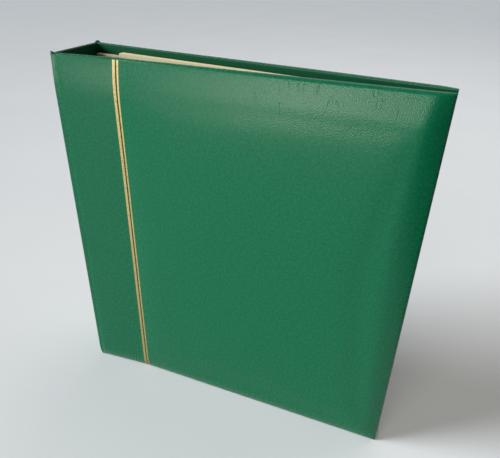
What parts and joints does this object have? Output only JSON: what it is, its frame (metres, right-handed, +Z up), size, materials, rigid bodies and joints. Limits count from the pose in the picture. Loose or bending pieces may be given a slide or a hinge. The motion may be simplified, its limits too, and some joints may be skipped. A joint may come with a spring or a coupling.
{
  "type": "stamp album",
  "caption": "Padded loose-leaf stamp album in green leatherette with gilt lines, hinged covers and linen-jointed leaves held on screw posts, standing upright",
  "frame": {"origin": "middle of the spine's lower edge, on the surface that the album stands on", "axes": "+Z up along the spine, +X from the spine towards the fore-edge, +Y from the front cover towards the back cover"},
  "size_m": [0.2893, 0.0602, 0.311],
  "materials": {
    "green_leatherette": "embossed vinyl leatherette, soft sheen",
    "foam": "soft foam sheet",
    "greyboard": "raw binder's board",
    "dark_lining": "embossed lining paper, dull",
    "gold_foil": "hot stamped foil",
    "plated_steel": "plated",
    "brass": "turned",
    "cream_card": "matt album card",
    "linen": "thin woven linen"
  },
  "bodies": {
    "spine": {"spine_board": "greyboard", "spine_skin": "green_leatherette", "spine_lining": "dark_lining", "front_spine_joint": "green_leatherette", "back_spine_joint": "green_leatherette"},
    "front_strip": {"strip_board": "greyboard", "strip_pad": "foam", "strip_skin": "green_leatherette", "strip_lining": "dark_lining", "gold_line_wide": "gold_foil"},
    "front_panel": {"front_board": "greyboard", "front_pad": "foam", "front_skin": "green_leatherette", "front_lining": "dark_lining", "gold_line_narrow": "gold_foil", "fold_joint": "green_leatherette"},
    "back_cover": {"back_board": "greyboard", "back_pad": "foam", "back_skin": "green_leatherette", "back_lining": "dark_lining", "peg_bar": "plated_steel", "peg_bar_rivets": "brass", "binding_posts": "brass", "leaf_stubs": "cream_card"},
    "pressure_bar": {"pressure_bar": "plated_steel"},
    "post_screws": {"post_screws": "brass"},
    "leaf_01": {"leaf_sheet_01": "cream_card", "leaf_linen_01": "linen"},
    "leaf_02": {"leaf_sheet_02": "cream_card", "leaf_linen_02": "linen"},
    "leaf_03": {"leaf_sheet_03": "cream_card", "leaf_linen_03": "linen"},
    "leaf_04": {"leaf_sheet_04": "cream_card", "leaf_linen_04": "linen"},
    "leaf_05": {"leaf_sheet_05": "cream_card", "leaf_linen_05": "linen"},
    "leaf_06": {"leaf_sheet_06": "cream_card", "leaf_linen_06": "linen"},
    "leaf_07": {"leaf_sheet_07": "cream_card", "leaf_linen_07": "linen"},
    "leaf_08": {"leaf_sheet_08": "cream_card", "leaf_linen_08": "linen"},
    "leaf_09": {"leaf_sheet_09": "cream_card", "leaf_linen_09": "linen"},
    "leaf_10": {"leaf_sheet_10": "cream_card", "leaf_linen_10": "linen"},
    "leaf_11": {"leaf_sheet_11": "cream_card", "leaf_linen_11": "linen"},
    "leaf_12": {"leaf_sheet_12": "cream_card", "leaf_linen_12": "linen"}
  },
  "joints": [
    {"name": "front_cover_open", "type": "hinge", "parent": "spine", "child": "front_strip", "pos_m": [0.0005, -0.02548, 0], "axis": [0, 0, -1], "range_deg": [0, 120], "deforming": ["front_spine_joint"]},
    {"name": "front_panel_fold", "type": "hinge", "parent": "front_strip", "child": "front_panel", "pos_m": [0.05498, -0.02376, 0], "axis": [0, 0, -1], "range_deg": [0, 90], "deforming": ["fold_joint"]},
    {"name": "back_cover_open", "type": "hinge", "parent": "spine", "child": "back_cover", "pos_m": [0.0005, 0.02564, 0], "axis": [0, 0, 1], "range_deg": [0, 95], "deforming": ["back_spine_joint"]},
    {"name": "post_screws_out", "type": "slide", "parent": "back_cover", "child": "post_screws", "axis": [-0.0698, -0.9976, 0], "range_m": [0, 0.014]},
    {"name": "pressure_bar_lift", "type": "slide", "parent": "back_cover", "child": "pressure_bar", "axis": [-0.0698, -0.9976, 0], "range_m": [0, 0.007]},
    {"name": "leaf_01_turn", "type": "hinge", "parent": "back_cover", "child": "leaf_01", "pos_m": [0.02587, 0.02085, 0], "axis": [0, 0, -1], "range_deg": [0, 8.5], "deforming": ["leaf_linen_01"]},
    {"name": "leaf_02_turn", "type": "hinge", "parent": "back_cover", "child": "leaf_02", "pos_m": [0.02584, 0.02043, 0], "axis": [0, 0, -1], "range_deg": [0, 17], "deforming": ["leaf_linen_02"]},
    {"name": "leaf_03_turn", "type": "hinge", "parent": "back_cover", "child": "leaf_03", "pos_m": [0.02581, 0.02001, 0], "axis": [0, 0, -1], "range_deg": [0, 25.5], "deforming": ["leaf_linen_03"]},
    {"name": "leaf_04_turn", "type": "hinge", "parent": "back_cover", "child": "leaf_04", "pos_m": [0.02578, 0.01959, 0], "axis": [0, 0, -1], "range_deg": [0, 34], "deforming": ["leaf_linen_04"]},
    {"name": "leaf_05_turn", "type": "hinge", "parent": "back_cover", "child": "leaf_05", "pos_m": [0.02575, 0.01917, 0], "axis": [0, 0, -1], "range_deg": [0, 42.5], "deforming": ["leaf_linen_05"]},
    {"name": "leaf_06_turn", "type": "hinge", "parent": "back_cover", "child": "leaf_06", "pos_m": [0.02572, 0.01876, 0], "axis": [0, 0, -1], "range_deg": [0, 51], "deforming": ["leaf_linen_06"]},
    {"name": "leaf_07_turn", "type": "hinge", "parent": "back_cover", "child": "leaf_07", "pos_m": [0.02569, 0.01834, 0], "axis": [0, 0, -1], "range_deg": [0, 59.5], "deforming": ["leaf_linen_07"]},
    {"name": "leaf_08_turn", "type": "hinge", "parent": "back_cover", "child": "leaf_08", "pos_m": [0.02566, 0.01792, 0], "axis": [0, 0, -1], "range_deg": [0, 68], "deforming": ["leaf_linen_08"]},
    {"name": "leaf_09_turn", "type": "hinge", "parent": "back_cover", "child": "leaf_09", "pos_m": [0.02563, 0.0175, 0], "axis": [0, 0, -1], "range_deg": [0, 76.5], "deforming": ["leaf_linen_09"]},
    {"name": "leaf_10_turn", "type": "hinge", "parent": "back_cover", "child": "leaf_10", "pos_m": [0.0256, 0.01708, 0], "axis": [0, 0, -1], "range_deg": [0, 85], "deforming": ["leaf_linen_10"]},
    {"name": "leaf_11_turn", "type": "hinge", "parent": "back_cover", "child": "leaf_11", "pos_m": [0.02558, 0.01666, 0], "axis": [0, 0, -1], "range_deg": [0, 93.5], "deforming": ["leaf_linen_11"]},
    {"name": "leaf_12_turn", "type": "hinge", "parent": "back_cover", "child": "leaf_12", "pos_m": [0.02555, 0.01624, 0], "axis": [0, 0, -1], "range_deg": [0, 102], "deforming": ["leaf_linen_12"]}
  ],
  "couplings": [
    {"joint": "pressure_bar_lift", "follows": "post_screws_out", "ratio": 0.5},
    {"joint": "leaf_01_turn", "follows": "front_cover_open", "ratio": 0.070833},
    {"joint": "leaf_02_turn", "follows": "front_cover_open", "ratio": 0.14167},
    {"joint": "leaf_03_turn", "follows": "front_cover_open", "ratio": 0.2125},
    {"joint": "leaf_04_turn", "follows": "front_cover_open", "ratio": 0.28333},
    {"joint": "leaf_05_turn", "follows": "front_cover_open", "ratio": 0.35417},
    {"joint": "leaf_06_turn", "follows": "front_cover_open", "ratio": 0.425},
    {"joint": "leaf_07_turn", "follows": "front_cover_open", "ratio": 0.49583},
    {"joint": "leaf_08_turn", "follows": "front_cover_open", "ratio": 0.56667},
    {"joint": "leaf_09_turn", "follows": "front_cover_open", "ratio": 0.6375},
    {"joint": "leaf_10_turn", "follows": "front_cover_open", "ratio": 0.70833},
    {"joint": "leaf_11_turn", "follows": "front_cover_open", "ratio": 0.77917},
    {"joint": "leaf_12_turn", "follows": "front_cover_open", "ratio": 0.85}
  ]
}
